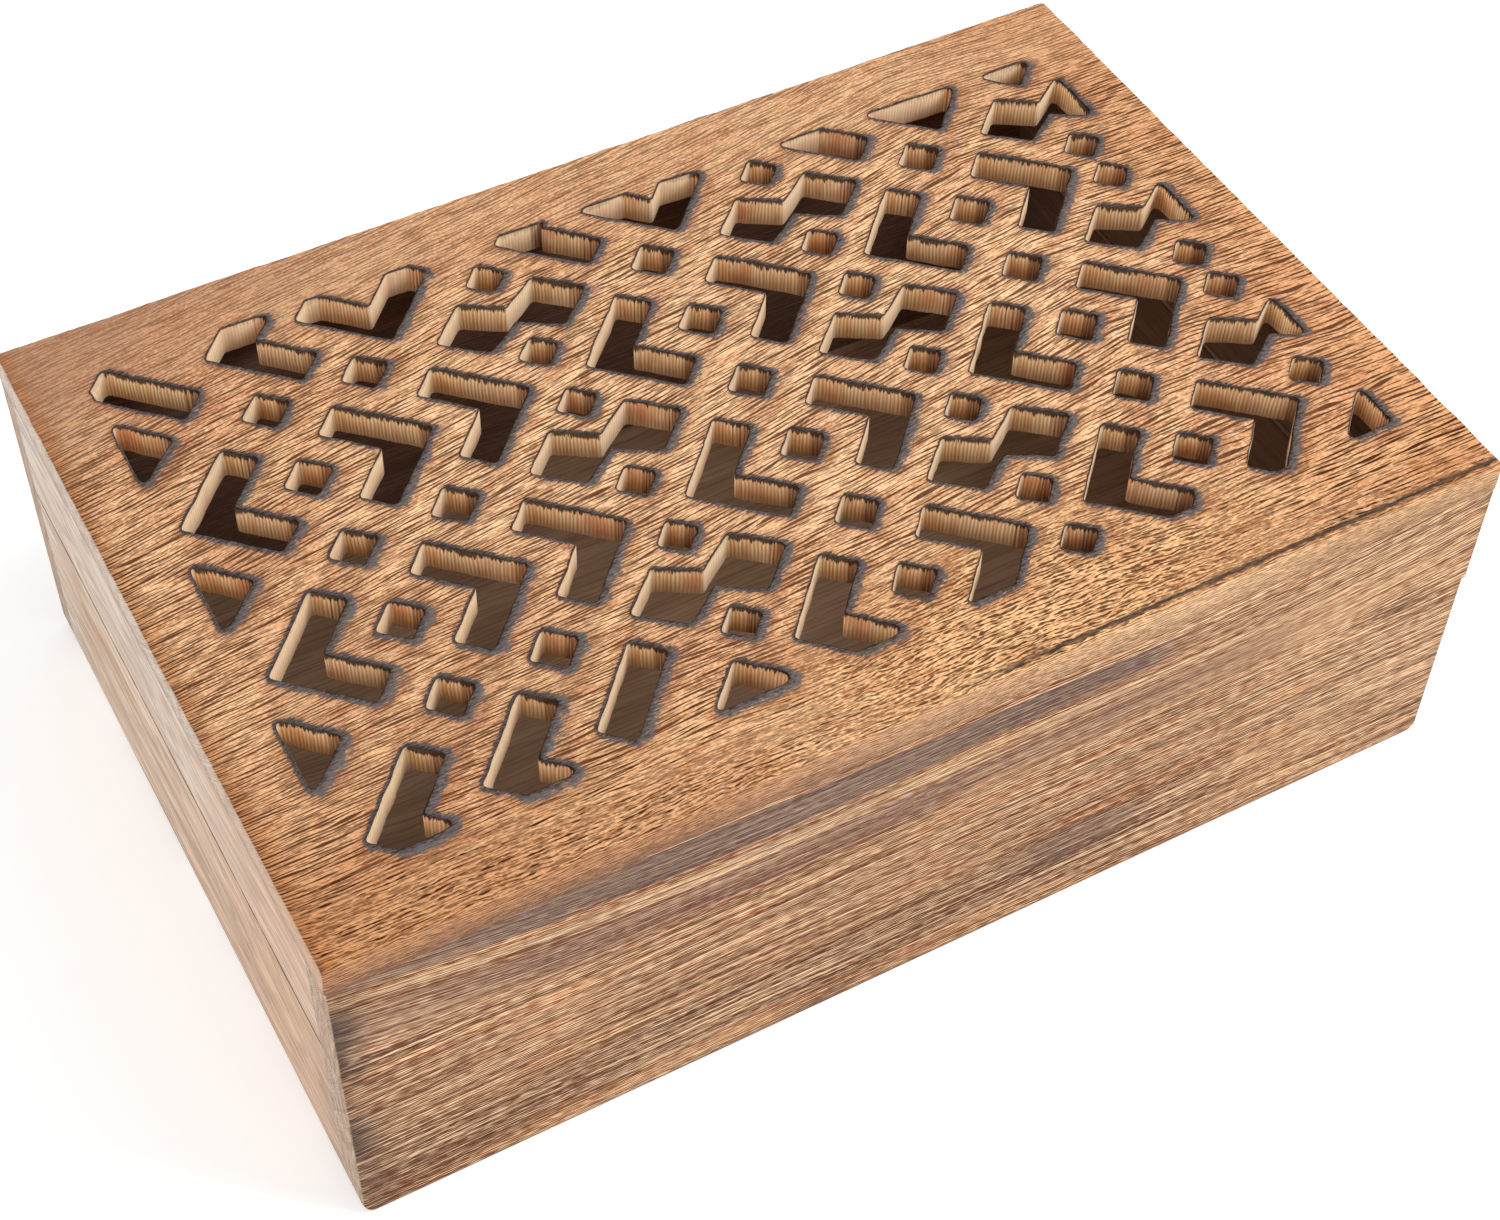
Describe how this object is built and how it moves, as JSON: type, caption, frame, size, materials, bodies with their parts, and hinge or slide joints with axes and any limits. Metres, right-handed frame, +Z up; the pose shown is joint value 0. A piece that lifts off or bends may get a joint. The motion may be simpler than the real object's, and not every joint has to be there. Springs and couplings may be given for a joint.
{
  "type": "hinged wooden box",
  "caption": "Hinged wooden storage box with a pierced geometric fretwork lid over a plain boarded base; the lid swings back on butt hinges.",
  "frame": {"origin": "middle of the base's underside, where the box rests", "axes": "+X along the length, -Y towards the front, +Z up"},
  "size_m": [0.305, 0.2057, 0.1016],
  "materials": {
    "fretwork_wood": "burnt and wire-brushed, oiled",
    "wall_wood": "burnt and brushed, oiled",
    "end_wood": "sanded, oiled",
    "floor_wood": "sanded, stained",
    "hinge_brass": "satin, lightly aged",
    "screw_brass": "satin, lightly aged"
  },
  "bodies": {
    "base": {"base_front_board": "wall_wood", "base_back_board": "wall_wood", "base_left_board": "end_wood", "base_right_board": "end_wood", "floor_panel": "floor_wood", "hinge_left_base_leaf": "hinge_brass", "hinge_left_pin": "hinge_brass", "hinge_right_base_leaf": "hinge_brass", "hinge_right_pin": "hinge_brass", "base_hinge_screws": "screw_brass"},
    "lid": {"lid_front_rail": "wall_wood", "lid_back_rail": "wall_wood", "lid_left_rail": "end_wood", "lid_right_rail": "end_wood", "lid_fretwork_panel": "fretwork_wood", "hinge_left_lid_leaf": "hinge_brass", "hinge_right_lid_leaf": "hinge_brass", "lid_hinge_screws": "screw_brass"}
  },
  "joints": [
    {"name": "lid_hinge", "type": "hinge", "parent": "base", "child": "lid", "pos_m": [0, 0.102, 0.0607], "axis": [-1, 0, 0], "range_deg": [0, 180]}
  ]
}
